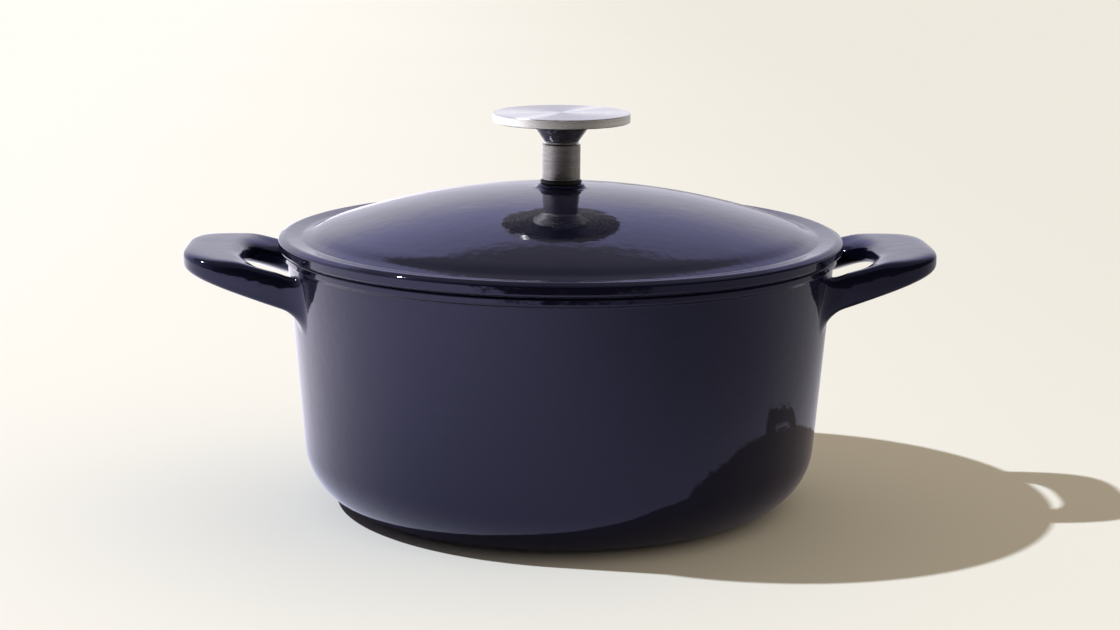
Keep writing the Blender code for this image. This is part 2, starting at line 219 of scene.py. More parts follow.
# --- finishes ----------------------------------------------------------------------------------
@dataclass(frozen=True)
class GlossEnamel:
    """Fired glass enamel on the outside of the castings, with clouds of deeper and thinner coat.

    A span holds the levels of a noise between which a mark fades in, and a share is the part
    that a mark has in the coat's tone.
    """

    name: str = "gloss_navy_enamel"
    deep: Colour = (0.0018, 0.0019, 0.0075)
    thin: Colour = (0.0042, 0.0042, 0.0170)
    specular_tint: Colour = (0.56, 0.57, 0.90)
    index: float = 1.52              # refractive index of glass
    sheen: float = 0.08              # the lavender cast of the glaze seen at a slant
    sheen_roughness: float = 0.35
    sheen_tint: Colour = (0.40, 0.41, 1.0)
    roughness: float = 0.05
    haze: float = 0.03               # how much rougher its dull patches are
    haze_size: float = 35.0 * MM
    haze_span: Point = (0.45, 0.80)
    cloud_size: float = 55.0 * MM
    cloud_share: float = 0.5
    speck_size: float = 1.1 * MM
    speck_span: Point = (0.74, 0.80)
    speck_share: float = 0.35
    tone_span: Point = (0.12, 0.62)
    ripple: float = 5.0 * MM         # wavelength of the orange peel
    ripple_height: float = 0.000038
    sag: float = 24.0 * MM           # wavelength of the slow runs in the glaze
    sag_height: float = 0.000090
    pit_size: float = 1.9 * MM
    pit_span: Point = (0.80, 0.86)
    pit_depth: float = 0.000004

    def material(self, bare: "BareRim | None" = None) -> bpy.types.Material:
        """Make the material.

        Args:
            bare: the band left bare of gloss where lid and pot meet, if the piece has one.

        Returns:
            The material.
        """
        def wiring(graph: Graph) -> dict[str, Wire]:
            place = graph.place()
            cloud = graph.noise(place, self.cloud_size, 3.0)
            speck = graph.noise(place, self.speck_size, 1.0).step(*self.speck_span)
            tone = cloud * self.cloud_share + speck * self.speck_share
            colour = graph.blend(tone.step(*self.tone_span), self.deep, self.thin)
            haze = graph.noise(place, self.haze_size, 4.0, 0.6).step(*self.haze_span)
            rough = self.roughness + haze * self.haze
            ripple = graph.noise(place, self.ripple, 1.5, 0.45) * self.ripple_height * 2.0
            sag = graph.noise(place, self.sag, 1.0, 0.4) * self.sag_height * 2.0
            pits = graph.noise(place, self.pit_size, 0.0).step(*self.pit_span) * -self.pit_depth
            if bare:
                mask = bare.mask(graph, place)
                colour = graph.blend(mask, colour, bare.colour)
                rough = rough + mask * (bare.roughness - self.roughness)
            return {"Base Color": colour, "Roughness": rough,
                    "Normal": graph.bump(ripple + sag + pits)}
        return new_material(self.name if bare is None else self.name + "_" + bare.name, {
            "IOR": self.index,
            "Specular Tint": (*self.specular_tint, 1.0),
            "Sheen Weight": self.sheen,
            "Sheen Roughness": self.sheen_roughness,
            "Sheen Tint": (*self.sheen_tint, 1.0),
        }, wiring)


@dataclass(frozen=True)
class BareRim:
    """Band of matt undercoat enamel where the lid and the pot rest on each other."""

    name: str
    low: float                       # the band's lowest and highest place
    high: float
    inner: float                     # and its least and largest radius
    outer: float
    colour: Colour = (0.012, 0.011, 0.013)
    roughness: float = 0.42
    fade: float = 0.5 * MM
    waver: float = 1.2 * MM          # how far its edge wanders, and over what length
    waver_length: float = 4.0 * MM

    def mask(self, graph: Graph, place: Wire) -> Wire:
        """1 on the band and 0 off it, with an edge that wavers as a hand-wiped one does."""
        x, y, z = graph.split(place)
        wander = (graph.noise(place, self.waver_length, 2.0) - 0.5) * self.waver
        radius = (x * x + y * y) ** 0.5 + wander
        height = z + wander * 0.5
        inside = radius.step(self.inner - self.fade, self.inner)
        inside = inside * radius.step(self.outer + self.fade, self.outer)
        inside = inside * height.step(self.low - self.fade, self.low)
        return inside * height.step(self.high + self.fade, self.high)


@dataclass(frozen=True)
class InnerEnamel:
    """Pale enamel of the cooking surfaces, a little mottled, with fine iron specks."""

    name: str = "cream_inner_enamel"
    pale: Colour = (0.66, 0.60, 0.50)
    warm: Colour = (0.60, 0.53, 0.42)
    speck: Colour = (0.16, 0.12, 0.09)
    mottle_size: float = 30.0 * MM
    mottle_span: Point = (0.35, 0.70)
    mottle_haze: float = 0.05        # how much rougher the warm patches are
    speck_size: float = 1.6 * MM
    speck_span: Point = (0.79, 0.83)
    speck_share: float = 0.7
    ripple: float = 4.5 * MM
    ripple_height: float = 0.000014
    roughness: float = 0.16

    def material(self) -> bpy.types.Material:
        """Make the material."""
        def wiring(graph: Graph) -> dict[str, Wire]:
            place = graph.place()
            mottle = graph.noise(place, self.mottle_size, 4.0, 0.6).step(*self.mottle_span)
            speck = graph.noise(place, self.speck_size, 0.5).step(*self.speck_span)
            colour = graph.blend(mottle, self.pale, self.warm)
            colour = graph.blend(speck * self.speck_share, colour, self.speck)
            rough = self.roughness + mottle * self.mottle_haze
            ripple = graph.noise(place, self.ripple, 2.0, 0.5) * self.ripple_height
            return {"Base Color": colour, "Roughness": rough, "Normal": graph.bump(ripple)}
        return new_material(self.name, {"IOR": 1.52, "Coat Weight": 0.25,
                                        "Coat Roughness": 0.05}, wiring)


class Brushing(Enum):
    """How far a steel piece's fine lines spread its highlights across them."""

    TURNED = 0.82
    PLAIN = 0.0


@dataclass(frozen=True)
class Steel:
    """Stainless steel with the fine rings that turning and brushing leave."""

    name: str
    brushing: Brushing
    colour: Colour = (0.87, 0.855, 0.75)
    dark: Colour = (0.70, 0.685, 0.62)
    roughness: float = 0.27
    groove: float = 0.00030          # width of one brushed line
    arc: float = 0.00045             # the lines break up over about this much for their width
    groove_height: float = 0.0000016
    broad: float = 5.0               # the broader lines are this many grooves wide
    tone_span: Point = (0.30, 0.70)
    roughness_swing: float = 0.14    # how much rougher one line is than another
    spread_turn: float = 0.25        # a quarter turn spreads the highlights across the lines

    def material(self) -> bpy.types.Material:
        """Make the material."""
        def wiring(graph: Graph) -> dict[str, Wire]:
            place = graph.place()
            x, y, z = graph.split(place)
            radius = (x * x + y * y + 1e-9) ** 0.5
            lines = graph.join(x / radius * self.arc, y / radius * self.arc, radius + z)
            fine = graph.noise(lines, self.groove, 2.0, 0.6)
            broad = graph.noise(lines, self.groove * self.broad, 1.0, 0.5)
            tone = (fine * 0.5 + broad * 0.5).step(*self.tone_span)
            colour = graph.blend(tone, self.colour, self.dark)
            rough = self.roughness + (fine - 0.5) * self.roughness_swing
            return {"Base Color": colour, "Roughness": rough,
                    "Normal": graph.bump(fine * self.groove_height)}
        return new_material(self.name, {
            "Metallic": 1.0,
            "Anisotropic": self.brushing.value,
            "Anisotropic Rotation": self.spread_turn,
        }, wiring)


@dataclass(frozen=True)
class Silicone:
    """Black heat-proof silicone rubber with a faint bloom."""

    name: str = "black_silicone"
    colour: Colour = (0.012, 0.012, 0.013)
    bloom: Colour = (0.045, 0.045, 0.048)
    bloom_size: float = 3.0 * MM
    bloom_span: Point = (0.45, 0.80)
    bloom_share: float = 0.5
    bloom_haze: float = 0.15         # how much rougher the bloom is
    roughness: float = 0.48
    grain: float = 0.3 * MM
    grain_height: float = 0.000006

    def material(self) -> bpy.types.Material:
        """Make the material."""
        def wiring(graph: Graph) -> dict[str, Wire]:
            place = graph.place()
            cloud = graph.noise(place, self.bloom_size, 4.0, 0.65).step(*self.bloom_span)
            grain = graph.noise(place, self.grain, 2.0, 0.6)
            colour = graph.blend(cloud * self.bloom_share, self.colour, self.bloom)
            return {"Base Color": colour,
                    "Roughness": self.roughness + cloud * self.bloom_haze,
                    "Normal": graph.bump(grain * self.grain_height)}
        return new_material(self.name, {"IOR": 1.42}, wiring)


def new_object(name: str, data: bpy.types.ID) -> bpy.types.Object:
    """Object of a mesh, light or camera, linked to the scene."""
    thing = bpy.data.objects.new(name, data)
    bpy.context.scene.collection.objects.link(thing)
    return thing


# --- outlines and turned meshes ----------------------------------------------------------------
@dataclass(frozen=True)
class Corner:
    """Corner of an outline: distance from the axis, height and the radius it is rounded to."""

    radius: float
    height: float
    bend: float = 0.0


def rounded(corners: Sequence[Corner], arc_step: float = math.radians(9)) -> list[Point]:
    """Outline through corners, each rounded one as an arc.

    Args:
        corners: the corners in order; the first and last stay sharp.
        arc_step: the angle between points of an arc.

    Returns:
        Points of the outline as (radius, height).
    """
    outline = []
    for i, corner in enumerate(corners):
        here = Vector((corner.radius, corner.height))
        if corner.bend == 0.0 or i in (0, len(corners) - 1):
            outline.append(tuple(here))
            continue
        before, after = corners[i - 1], corners[i + 1]
        back = (Vector((before.radius, before.height)) - here).normalized()
        ahead = (Vector((after.radius, after.height)) - here).normalized()
        half = back.angle(ahead) / 2
        centre = here + (back + ahead).normalized() * (corner.bend / math.sin(half))
        start = here + back * (corner.bend / math.tan(half)) - centre
        end = here + ahead * (corner.bend / math.tan(half)) - centre
        turn = math.pi - 2 * half
        count = max(2, math.ceil(turn / arc_step))
        for k in range(count + 1):
            share = k / count
            along = (start * math.sin(turn * (1 - share)) + end * math.sin(turn * share))
            outline.append(tuple(centre + along / math.sin(turn)))
    return outline


def spaced(outline: Sequence[Point], longest: float) -> list[Point]:
    """The outline with points added wherever a stretch is longer than the longest allowed."""
    result = [outline[0]]
    for a, b in zip(outline, outline[1:]):
        count = max(1, math.ceil(math.dist(a, b) / longest - 1e-6))
        for k in range(1, count + 1):
            share = k / count
            result.append((a[0] + (b[0] - a[0]) * share, a[1] + (b[1] - a[1]) * share))
    return result


def ring_outline(bore: float, outer: float, low: float, high: float, bends: Sequence[float],
                 arc_step: float = math.radians(9)) -> list[Point]:
    """Closed outline of a flat ring.

    Args:
        bore: the ring's inner radius.
        outer: its outer radius.
        low: height of its underside.
        high: height of its top.
        bends: rounding of its outer top, outer low, inner low and inner top edge.
        arc_step: the angle between points of an arc.

    Returns:
        Points of the outline as (radius, height).
    """
    middle = Corner((bore + outer) / 2, high)
    edges = ((outer, high), (outer, low), (bore, low), (bore, high))
    corners = [Corner(radius, height, bend) for (radius, height), bend in zip(edges, bends)]
    return rounded([middle, *corners, middle], arc_step)[:-1]


def resampled(line: np.ndarray, marks: np.ndarray, count: int) -> np.ndarray:
    """Points of a line where the marks fall when its length is cut into equal parts."""
    run = np.concatenate([[0], np.cumsum(np.linalg.norm(np.diff(line, axis=0), axis=1))])
    wanted = run[-1] * marks / count
    return np.stack([np.interp(wanted, run, values) for values in line.T], axis=1)


def outline_normals(outline: np.ndarray, closed: bool) -> np.ndarray:
    """Outward normal at each point of an outline that runs down a piece's outer side.

    Args:
        outline: points as (radius, height).
        closed: whether the last point joins the first.

    Returns:
        Unit normals; a longer neighbouring stretch counts for more, so flats stay flat.
    """
    ahead = np.roll(outline, -1, axis=0) - outline
    if not closed:
        ahead[-1] = ahead[-2]
    length = np.linalg.norm(ahead, axis=1, keepdims=True)
    across = np.stack([-ahead[:, 1], ahead[:, 0]], axis=1) / np.maximum(length, 1e-12)
    weight = length ** 2
    before, weight_before = np.roll(across, 1, axis=0), np.roll(weight, 1, axis=0)
    if not closed:
        before[0], weight_before[0] = across[0], weight[0]
    normals = across * weight + before * weight_before
    return normals / np.linalg.norm(normals, axis=1, keepdims=True)


@dataclass
class Surface:
    """Mesh under construction: points with their exact normals, and faces with a finish each."""

    points: list[tuple[float, float, float]] = field(default_factory=list)
    normals: list[tuple[float, float, float]] = field(default_factory=list)
    faces: list[tuple[int, ...]] = field(default_factory=list)
    finishes: list[int] = field(default_factory=list)

    def add_point(self, point: Sequence[float], normal: Sequence[float]) -> int:
        """Add a point with its normal and return its number."""
        self.points.append(tuple(float(v) for v in point))
        self.normals.append(tuple(float(v) for v in normal))
        return len(self.points) - 1

    def add_polar(self, radius: float, height: float, angle: float, out: float,
                  up: float) -> int:
        """Add a point by its angle about the axis, with the two parts of its normal."""
        c, s = math.cos(angle), math.sin(angle)
        return self.add_point((radius * c, radius * s, height), (out * c, out * s, up))

    def add_face(self, corners: Sequence[int], finish: int = 0) -> None:
        """Add a face, counter-clockwise as seen from outside."""
        self.faces.append(tuple(corners))
        self.finishes.append(finish)

    def add_bands(self, rings: Sequence[Sequence[int]], flip: bool = False) -> None:
        """Join each ring of point numbers to the next by a band of faces."""
        for a, b in zip(rings, rings[1:]):
            for k in range(len(a)):
                m = (k + 1) % len(a)
                corners = (a[k], a[m], b[m], b[k]) if flip else (a[k], b[k], b[m], a[m])
                self.add_face([int(i) for i in corners])

    def add_turned(self, outline: Sequence[Point], steps: int, closed: bool = True,
                   finish: Callable[[float, float], int] = lambda radius, height: 0,
                   skip: Callable[[int, int], bool] = lambda row, column: False,
                   ) -> np.ndarray:
        """Turn an outline about the axis.

        Args:
            outline: points down the outer side; an open outline starts and ends on the axis.
            steps: segments round the axis.
            closed: whether the last point joins the first.
            finish: number of the finish for the middle of a face.
            skip: tells by row and column which faces are left out.

        Returns:
            The point numbers as an array of rows by columns.
        """
        profile = np.array(outline, float)
        slopes = outline_normals(profile, closed)
        rows = np.zeros((len(profile), steps), int)
        for i, ((radius, height), (out, up)) in enumerate(zip(profile, slopes)):
            if radius < 1e-7:
                rows[i, :] = self.add_point((0, 0, height), (0, 0, math.copysign(1, up)))
                continue
            for j in range(steps):
                rows[i, j] = self.add_polar(radius, height, math.tau * j / steps, out, up)
        last = len(profile) if closed else len(profile) - 1
        for i in range(last):
            k = (i + 1) % len(profile)
            middle = (profile[i] + profile[k]) / 2
            kind = finish(*middle)
            for j in range(steps):
                if skip(i, j):
                    continue
                m = (j + 1) % steps
                corners = [rows[i, j], rows[k, j], rows[k, m], rows[i, m]]
                self.add_face(list(dict.fromkeys(int(c) for c in corners)), kind)
        return rows

    def to_object(self, name: str, materials: Sequence[bpy.types.Material]) -> bpy.types.Object:
        """Object of the finished surface.

        Args:
            name: the piece's name.
            materials: its finishes in the order of their numbers.

        Returns:
            The object, linked to the scene, shaded with the exact normals.
        """
        used = sorted({corner for face in self.faces for corner in face})
        number = {old: new for new, old in enumerate(used)}
        mesh = bpy.data.meshes.new(name)
        mesh.from_pydata([self.points[i] for i in used], [],
                         [[number[c] for c in face] for face in self.faces])
        for material in materials:
            mesh.materials.append(material)
        mesh.polygons.foreach_set("material_index", self.finishes)
        mesh.shade_smooth()
        mesh.normals_split_custom_set_from_vertices([self.normals[i] for i in used])
        mesh.update()
        return new_object(name, mesh)


def settle(thing: bpy.types.Object, body: str, node: str) -> bpy.types.Object:
    """Make a piece ride on its body and stand for its CAD node.

    Args:
        thing: the piece.
        body: the CAD body it moves with.
        node: the CAD node that it stands for.

    Returns:
        The piece.
    """
    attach(thing, body)
    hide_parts(node)
    LOG.info("%s rides on %s: %d faces", thing.name, body, len(thing.data.polygons))
    return thing


def smooth_step(value: float, low: float, high: float) -> float:
    """0 below low, 1 above high, and a smooth S between."""
    t = max(0.0, min(1.0, (value - low) / (high - low)))
    return t * t * (3 - 2 * t)


# --- pot ---------------------------------------------------------------------------------------
@dataclass(frozen=True)
class Wall:
    """Outside of the pot's wall, which widens a little upwards."""

    radius: float = 120.9 * MM
    taper: float = 0.08

    def at(self, height: Any) -> Any:
        """Outer radius at a height, or at an array of heights."""
        return self.radius + self.taper * height


@dataclass(frozen=True)
class LoopHandle:
    """Loop handle along +X, cast in one with the pot."""

    wall: Wall = Wall()
    reach: float = 178.5 * MM
    half_width: float = 46.0 * MM
    squareness: float = 3.8
    hole_reach: float = 151.8 * MM
    hole_half_width: float = 30.0 * MM
    hole_squareness: float = 3.1
    root_x: float = 118.0 * MM
    arm_top: float = 117.2 * MM
    grip_top: float = 121.9 * MM
    tip_top: float = 124.2 * MM
    tip_rise_power: float = 1.5
    rise_from: float = 125.5 * MM
    rise_to: float = 152.5 * MM
    root_underside: float = 98.0 * MM
    root_underside_x: float = 128.58 * MM
    tip_underside: float = 115.0 * MM
    hole_side_lift: float = 5.0 * MM     # the underside slopes up this much towards the hole
    hole_side_drop: float = 4.0 * MM     # the arms' tops slope down this much towards the hole
    hole_drop_from: float = 140.0 * MM   # and this slope fades out into the grip
    hole_drop_to: float = 156.0 * MM
    section_squareness: float = 4.1
    root_dip: float = 1.9 * MM       # the arms' tops dip under the rim where they meet the wall
    root_dip_reach: float = 10.0 * MM
    fillet_height: float = 8.5 * MM  # how far out the root's fillet starts
    fillet_side: float = 6.5 * MM    # how far it spreads over the wall sideways ...
    fillet_below: float = 10.5 * MM  # ... downwards ...
    fillet_above: float = 0.9 * MM   # ... and upwards, under the rim
    section_points: int = 64
    section_samples: int = 2000      # points that the even spacing is measured on
    rail_samples: int = 900
    fillet_rings: int = 9
    loop_rings: int = 46

    def plan(self, angle: float, reach: float, half_width: float, squareness: float) -> Point:
        """Point of an outline seen from above; the angle runs from -90 to 90 degrees."""
        c, s = max(0.0, math.cos(angle)), math.sin(angle)
        x = self.root_x + (reach - self.root_x) * c ** (2 / squareness)
        y = half_width * math.copysign(abs(s) ** (2 / squareness), s)
        return x, y

    def top(self, x: float) -> float:
        """Height of the crest at a distance from the pot's axis."""
        rise = smooth_step(x, self.rise_from, self.rise_to)
        along = max(0.0, (x - self.rise_to) / (self.reach - self.rise_to))
        tip = (self.tip_top - self.grip_top) * along ** self.tip_rise_power
        return self.arm_top + (self.grip_top - self.arm_top) * rise + tip

    def underside(self, x: float) -> float:
        """Height of the sloping underside at a distance from the pot's axis."""
        slope = (self.tip_underside - self.root_underside) / (self.reach - self.root_underside_x)
        return self.root_underside + slope * (x - self.root_underside_x)

    def section(self) -> list[Point]:
        """Rounded-square section in shares across and up, evenly spaced round its edge."""
        power = 2 / self.section_squareness
        ring = []
        for k in range(self.section_samples + 1):
            angle = math.tau * k / self.section_samples
            c, s = math.cos(angle), math.sin(angle)
            ring.append((0.5 + 0.5 * math.copysign(abs(c) ** power, c),
                         0.5 + 0.5 * math.copysign(abs(s) ** power, s)))
        marks = np.arange(self.section_points) + 0.5
        return resampled(np.array(ring), marks, self.section_points).tolist()

    def surface_point(self, angle: float, across: float,
                      up: float) -> tuple[float, float, float]:
        """Point of the loop's surface.

        Args:
            angle: place along the loop.
            across: share from the hole's side to the outer side.
            up: share from the underside to the crest.

        Returns:
            The point.
        """
        inner = self.plan(angle, self.hole_reach, self.hole_half_width, self.hole_squareness)
        outer = self.plan(angle, self.reach, self.half_width, self.squareness)
        x = inner[0] + (outer[0] - inner[0]) * across
        y = inner[1] + (outer[1] - inner[1]) * across
        low = self.underside(x) + self.hole_side_lift * (1 - across)
        slope = self.hole_side_drop * (1 - smooth_step(x, self.hole_drop_from, self.hole_drop_to))
        high = self.top(x) - slope * (1 - across)
        out = math.hypot(x, y) - self.wall.at(high)
        high -= self.root_dip * (1 - smooth_step(out, 0.0, self.root_dip_reach))
        return x, y, low + (high - low) * up

    def rings(self) -> np.ndarray:
        """Rings of the loop from the root on the wall round to the other root.

        Returns:
            Points as an array of rings by section points by 3, the first and last ring lying
            exactly on the wall.
        """
        angles = -math.pi / 2 + math.pi / 2 * np.linspace(0, 1, self.rail_samples) ** 2
        rails = np.array([[self.surface_point(a, across, up) for a in angles]
                          for across, up in self.section()])
        out = np.hypot(rails[..., 0], rails[..., 1]) - self.wall.at(rails[..., 2])
        count = len(rails)
        rings = []
        for k in range(self.fillet_rings):
            lift = self.fillet_height * (1 - math.cos(math.pi / 2 * k / (self.fillet_rings - 1)))
            ring = np.array([[np.interp(lift, out[j], rails[j, :, axis]) for axis in range(3)]
                             for j in range(count)])
            rings.append(self._flared(ring, lift))
        half = []
        half_rings = self.loop_rings // 2
        for j in range(count):
            first = int(np.searchsorted(out[j], self.fillet_height))
            rail = np.vstack([rings[-1][j], rails[j, first:]])
            half.append(resampled(rail, np.arange(1, half_rings + 1), half_rings))
        near = np.vstack([np.array(rings), np.array(half).transpose(1, 0, 2)])
        far = near[-2::-1] * np.array([1, -1, 1])
        return np.vstack([near, far])

    def _flared(self, ring: np.ndarray, lift: float) -> np.ndarray:
        """Ring near the root, spread over the wall as a fillet.

        Args:
            ring: the arm's plain section at this lift.
            lift: distance from the wall.

        Returns:
            The spread ring.
        """
        spread = 1 - math.sqrt(max(0.0, 1 - (1 - lift / self.fillet_height) ** 2))
        radius = float(self.wall.at(ring[:, 2].mean()))
        turn = np.arctan2(ring[:, 1], ring[:, 0])
        flat = np.stack([turn * radius, ring[:, 2]], axis=1)
        along = np.roll(flat, -1, axis=0) - np.roll(flat, 1, axis=0)
        normal = np.stack([along[:, 1], -along[:, 0]], axis=1)
        normal /= np.linalg.norm(normal, axis=1, keepdims=True)
        middle = flat.mean(axis=0)
        if np.sum((flat - middle) * normal) < 0:
            normal = -normal
        above = np.clip(normal[:, 1], 0, 1) ** 2
        below = np.clip(-normal[:, 1], 0, 1) ** 2
        size = (self.fillet_side * (1 - above - below) + self.fillet_above * above
                + self.fillet_below * below)
        flat = flat + normal * (size * spread)[:, None]
        turn, height = flat[:, 0] / radius, flat[:, 1]
        distance = self.wall.at(height) + lift
        return np.stack([distance * np.cos(turn), distance * np.sin(turn), height], axis=1)


@dataclass
class PotCasting:
    """The pot: turned body, rim, cooking surface and both loop handles, as one casting."""

    wall: Wall = Wall()
    wall_thick: float = 3.6 * MM
    base_corner: float = 29.5 * MM
    base_thick: float = 4.4 * MM
    base_recess: float = 0.9 * MM
    base_recess_radius: float = 76.0 * MM
    rim_lip_height: float = 3.4 * MM
    rim_rounding: float = 1.1 * MM
    rim_undercut: float = 1.2 * MM
    rim_top: float = 122.0 * MM
    rim_lip_radius: float = 132.0 * MM
    handle: LoopHandle = LoopHandle()
    steps: int = 192
    row_height: float = 2.2 * MM
    # The wall near a handle is meshed round its roots: this many columns on either side, from
    # this height up to the rim, without the regular points that lie close to a root.
    patch_columns: int = 16
    patch_low: float = 80.0 * MM
    patch_clearance: float = 1.3 * MM

    def outline(self) -> list[Point]:
        """Closed profile from the rim down the outside, over the base and up the inside."""
        lip_foot = self.rim_top - self.rim_lip_height
        undercut = lip_foot - self.rim_undercut
        inner_top = self.wall.at(self.rim_top) - self.wall_thick
        corners = [
            Corner(inner_top + 2 * self.rim_rounding, self.rim_top),
            Corner(self.rim_lip_radius, self.rim_top, self.rim_rounding),
            Corner(self.rim_lip_radius, lip_foot, self.rim_rounding),
            Corner(self.wall.at(undercut), undercut, 0.9 * MM),
            Corner(self.wall.radius, 0.0, self.base_corner),
            Corner(self.base_recess_radius, 0.0, 0.5 * MM),
            Corner(self.base_recess_radius - self.base_recess, self.base_recess, 0.5 * MM),
            Corner(0.0, self.base_recess),
            Corner(0.0, self.base_thick),
            Corner(self.wall.at(self.base_thick) - self.wall_thick, self.base_thick,
                   self.base_corner - self.wall_thick),
            Corner(inner_top, self.rim_top, self.rim_rounding),
            Corner(inner_top + 2 * self.rim_rounding, self.rim_top),
        ]
        return spaced(rounded(corners, math.radians(6))[:-1], self.row_height)

    def build(self) -> bpy.types.Object:
        """Make the pot."""
        surface = Surface()
        outline = self.outline()
        rows = np.array(outline)
        outer = [i for i, (r, z) in enumerate(outline)
                 if self.patch_low < z and abs(r - self.wall.at(z)) < 1e-6]
        top_row, low_row = outer[0], outer[-1]

        def in_patch(row: int, column: int) -> bool:
            near = (column + self.patch_columns) % (self.steps // 2)
            return top_row <= row < low_row and near < 2 * self.patch_columns

        def finish(radius: float, height: float) -> int:
            over_base = height > self.base_thick - 0.1 * MM
            corner = max(0.0, self.base_corner - height)
            shell = self.wall.at(height) - self.wall_thick * 0.6
            shell -= self.base_corner - math.sqrt(self.base_corner ** 2 - corner ** 2)
            return 1 if over_base and radius < shell else 0

        grid = surface.add_turned(outline, self.steps, finish=finish, skip=in_patch)
        rings = self.handle.rings()
        for turn in (0.0, math.pi):
            self._add_handle(surface, rings, grid[top_row:low_row + 1], rows[top_row:low_row + 1],
                             turn)
        materials = [
            GlossEnamel().material(BareRim(
                "pot", low=self.rim_top - 0.25 * MM, high=self.rim_top + 1.0 * MM,
                inner=self.wall.at(self.rim_top) - self.wall_thick,
                outer=self.rim_lip_radius - 0.9 * MM)),
            InnerEnamel().material(),
        ]
        thing = surface.to_object("enamelled_pot", materials)
        return settle(thing, "pot", "pot")

    def _add_handle(self, surface: Surface, rings: np.ndarray, grid: np.ndarray,
                    rows: np.ndarray, turn: float) -> None:
        """Add one loop handle and the stretch of wall that its two roots spread over.

        Args:
            surface: the surface to add to.
            rings: the loop's rings for the handle along +X.
            grid: point numbers of the wall, rows by columns.
            rows: radius and height of those rows.
            turn: angle of the handle about the pot's axis.
        """
        c, s = math.cos(turn), math.sin(turn)
        spin = np.array([[c, -s, 0], [s, c, 0], [0, 0, 1]])
        along = np.zeros_like(rings)
        along[1:-1] = rings[2:] - rings[:-2]
        along[0], along[-1] = rings[1] - rings[0], rings[-1] - rings[-2]
        around = np.roll(rings, -1, axis=1) - np.roll(rings, 1, axis=1)
        normals = np.cross(along, around)
        outward = rings - rings.mean(axis=1, keepdims=True)
        flip = -1.0 if np.sum(outward * normals) < 0 else 1.0
        normals = normals * flip / np.linalg.norm(normals, axis=2, keepdims=True)
        wall_normals = rings * np.array([1, 1, 0])
        wall_normals /= np.linalg.norm(wall_normals, axis=2, keepdims=True)
        wall_normals[..., 2] = -self.wall.taper
        wall_normals /= np.linalg.norm(wall_normals, axis=2, keepdims=True)
        normals[0], normals[-1] = wall_normals[0], wall_normals[-1]
        numbers = np.array([[surface.add_point(spin @ p, spin @ n) for p, n in zip(ring, lean)]
                            for ring, lean in zip(rings, normals)])
        surface.add_bands(numbers, flip < 0)
        self._add_wall_patch(surface, (rings[0], rings[-1]), (numbers[0], numbers[-1]), grid,
                             rows, turn)

    def _add_wall_patch(self, surface: Surface, roots: Sequence[np.ndarray],
                        root_numbers: Sequence[np.ndarray], grid: np.ndarray, rows: np.ndarray,
                        turn: float) -> None:
        """Fill the wall between its regular rows and columns and the handle's two roots.

        Args:
            surface: the surface to add to.
            roots: the two root rings, on the wall, for the handle along +X.
            root_numbers: their point numbers.
            grid: point numbers of the wall, rows by columns.
            rows: radius and height of those rows.
            turn: angle of the handle about the pot's axis.
        """
        radius = float(rows[:, 0].mean())
        first = round(turn / math.tau * self.steps)
        columns = range(-self.patch_columns, self.patch_columns + 1)
        last = len(rows) - 1
        holes = [np.stack([np.arctan2(ring[:, 1], ring[:, 0]) * radius, ring[:, 2]], axis=1)
                 for ring in roots]
        flat, numbers, edges = [], [], []
        for hole, names in zip(holes, root_numbers):
            start, count = len(flat), len(hole)
            edges += [(start + k, start + (k + 1) % count) for k in range(count)]
            flat.extend(hole.tolist())
            numbers.extend(int(n) for n in names)
        border = {}
        for i, (_, height) in enumerate(rows):
            for column in columns:
                spot = np.array([math.tau * column / self.steps * radius, height])
                on_border = i in (0, last) or abs(column) == self.patch_columns
                gap = min(float(np.linalg.norm(hole - spot, axis=1).min()) for hole in holes)
                at_root = gap < self.patch_clearance or any(inside(spot, h) for h in holes)
                if at_root and not on_border:
                    continue
                if on_border:
                    border[i, column] = len(flat)
                flat.append(spot.tolist())
                numbers.append(int(grid[i, (first + column) % self.steps]))
        for column in columns[:-1]:
            edges += [(border[i, column], border[i, column + 1]) for i in (0, last)]
        for i in range(last):
            edges += [(border[i, side], border[i + 1, side]) for side in (columns[0], columns[-1])]
        whole_hull = 0
        spots, _, faces, source, _, _ = delaunay_2d_cdt(
            [Vector(p) for p in flat], edges, [], whole_hull, 1e-9)
        for face in faces:
            middle = np.mean([spots[i] for i in face], axis=0)
            if any(inside(middle, hole) for hole in holes):
                continue
            corners = [numbers[source[i][0]] for i in face]
            a, b, c = (spots[i] for i in face[:3])
            if (b - a).cross(c - a) < 0:
                corners.reverse()
            surface.add_face(corners)


def inside(spot: Sequence[float], ring: np.ndarray) -> bool:
    """Whether a flat point lies inside a closed ring of points."""
    x, y = spot
    a, b = ring, np.roll(ring, -1, axis=0)
    crosses = (a[:, 1] > y) != (b[:, 1] > y)
    with np.errstate(divide="ignore", invalid="ignore"):
        at = a[:, 0] + (y - a[:, 1]) / (b[:, 1] - a[:, 1]) * (b[:, 0] - a[:, 0])
    return bool(np.sum(crosses & (x < at)) % 2)


